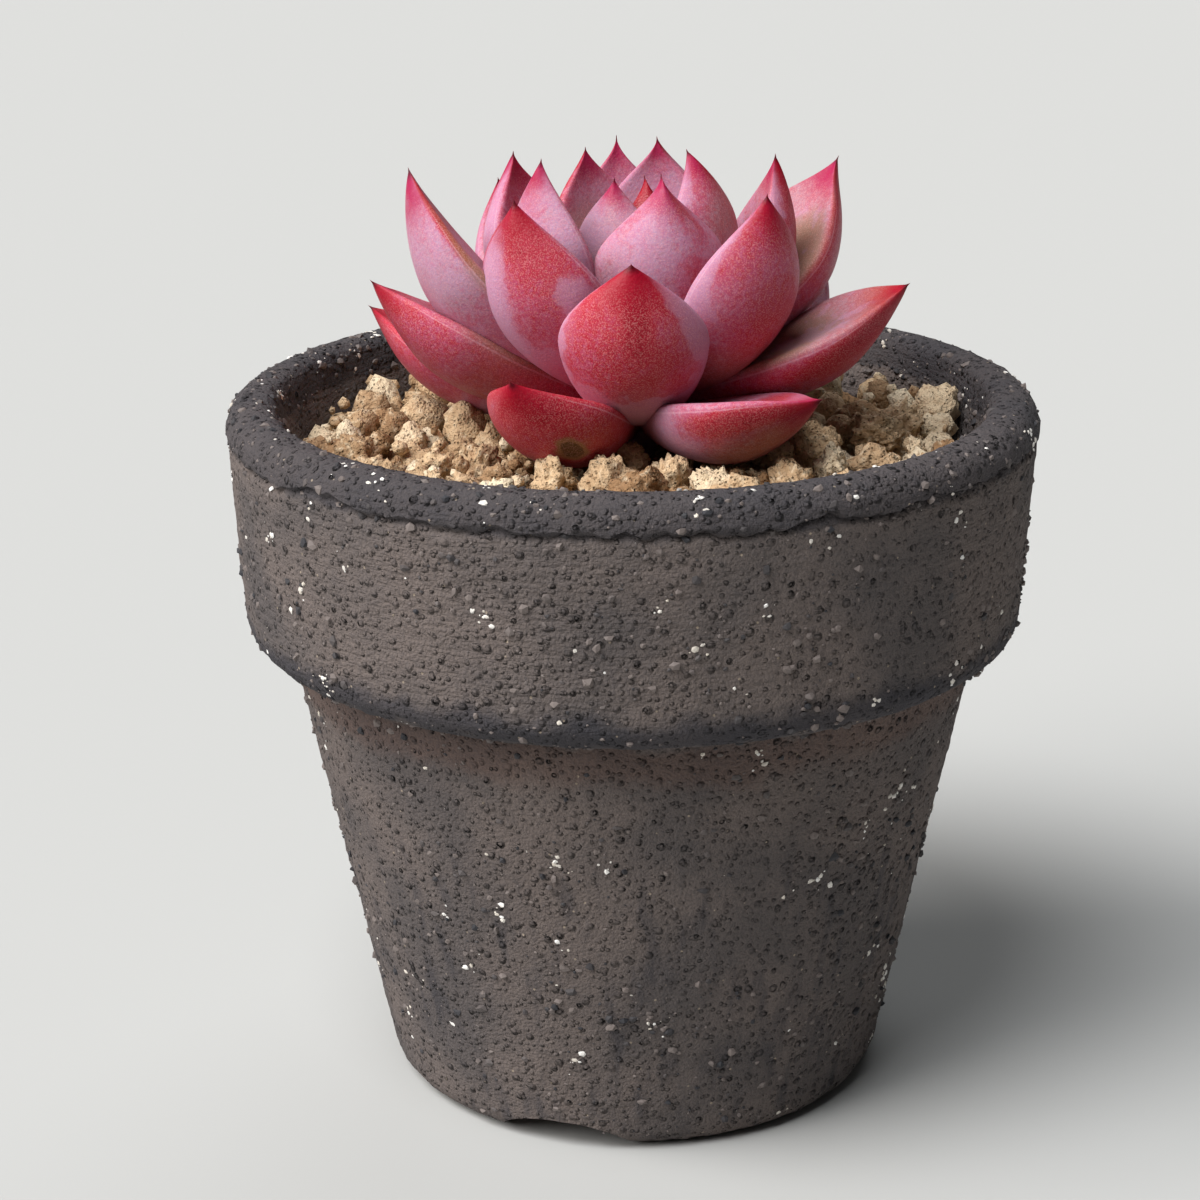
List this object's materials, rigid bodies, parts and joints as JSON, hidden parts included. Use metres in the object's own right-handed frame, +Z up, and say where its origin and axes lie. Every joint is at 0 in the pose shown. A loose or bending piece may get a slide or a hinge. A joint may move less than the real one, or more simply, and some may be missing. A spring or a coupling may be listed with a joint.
{
  "type": "potted cubic frost echeveria",
  "caption": "Rosette succulent, cubic frost echeveria, planted in a dark unglazed stoneware pot under a gravel top dressing.",
  "frame": {"origin": "centre of the pot's foot ring, on the surface that the pot stands on", "axes": "+Z up through the pot's mouth; -Y is the front, with the drainage notch just to its left; +X is to the right of the front"},
  "size_m": [0.09, 0.09, 0.107],
  "materials": {
    "pot_stoneware": "matte unglazed dark stoneware with coarse black grog and a few pale specks",
    "net_plastic": "matte moulded mesh",
    "drainage_pumice": "rough and porous",
    "potting_soil": "dark and crumbly",
    "top_gravel": "rough porous tan granules",
    "stem": "satin plant skin",
    "inner_leaf_skin": "satin fleshy skin under a pale powdery bloom, crimson at margin and tip",
    "outer_leaf_skin": "satin fleshy skin flushed coral red, powdery near the margins and the foot"
  },
  "bodies": {
    "root": {"pot": "pot_stoneware", "drainage_net": "net_plastic", "drainage_stones": "drainage_pumice", "potting_soil": "potting_soil", "gravel_top_dressing": "top_gravel", "stem_with_bud": "stem", "leaf_01": "inner_leaf_skin", "leaf_02": "inner_leaf_skin", "leaf_03": "inner_leaf_skin", "leaf_04": "inner_leaf_skin", "leaf_05": "inner_leaf_skin", "leaf_06": "inner_leaf_skin", "leaf_07": "inner_leaf_skin", "leaf_08": "inner_leaf_skin", "leaf_09": "inner_leaf_skin", "leaf_10": "inner_leaf_skin", "leaf_11": "inner_leaf_skin", "leaf_12": "outer_leaf_skin", "leaf_13": "inner_leaf_skin", "leaf_14": "outer_leaf_skin", "leaf_15": "outer_leaf_skin", "leaf_16": "outer_leaf_skin", "leaf_17": "outer_leaf_skin", "leaf_18": "outer_leaf_skin", "leaf_19": "outer_leaf_skin", "leaf_20": "outer_leaf_skin", "leaf_21": "outer_leaf_skin", "leaf_22": "outer_leaf_skin", "leaf_23": "outer_leaf_skin", "leaf_24": "outer_leaf_skin", "leaf_25": "outer_leaf_skin", "leaf_26": "outer_leaf_skin"}
  },
  "joints": []
}
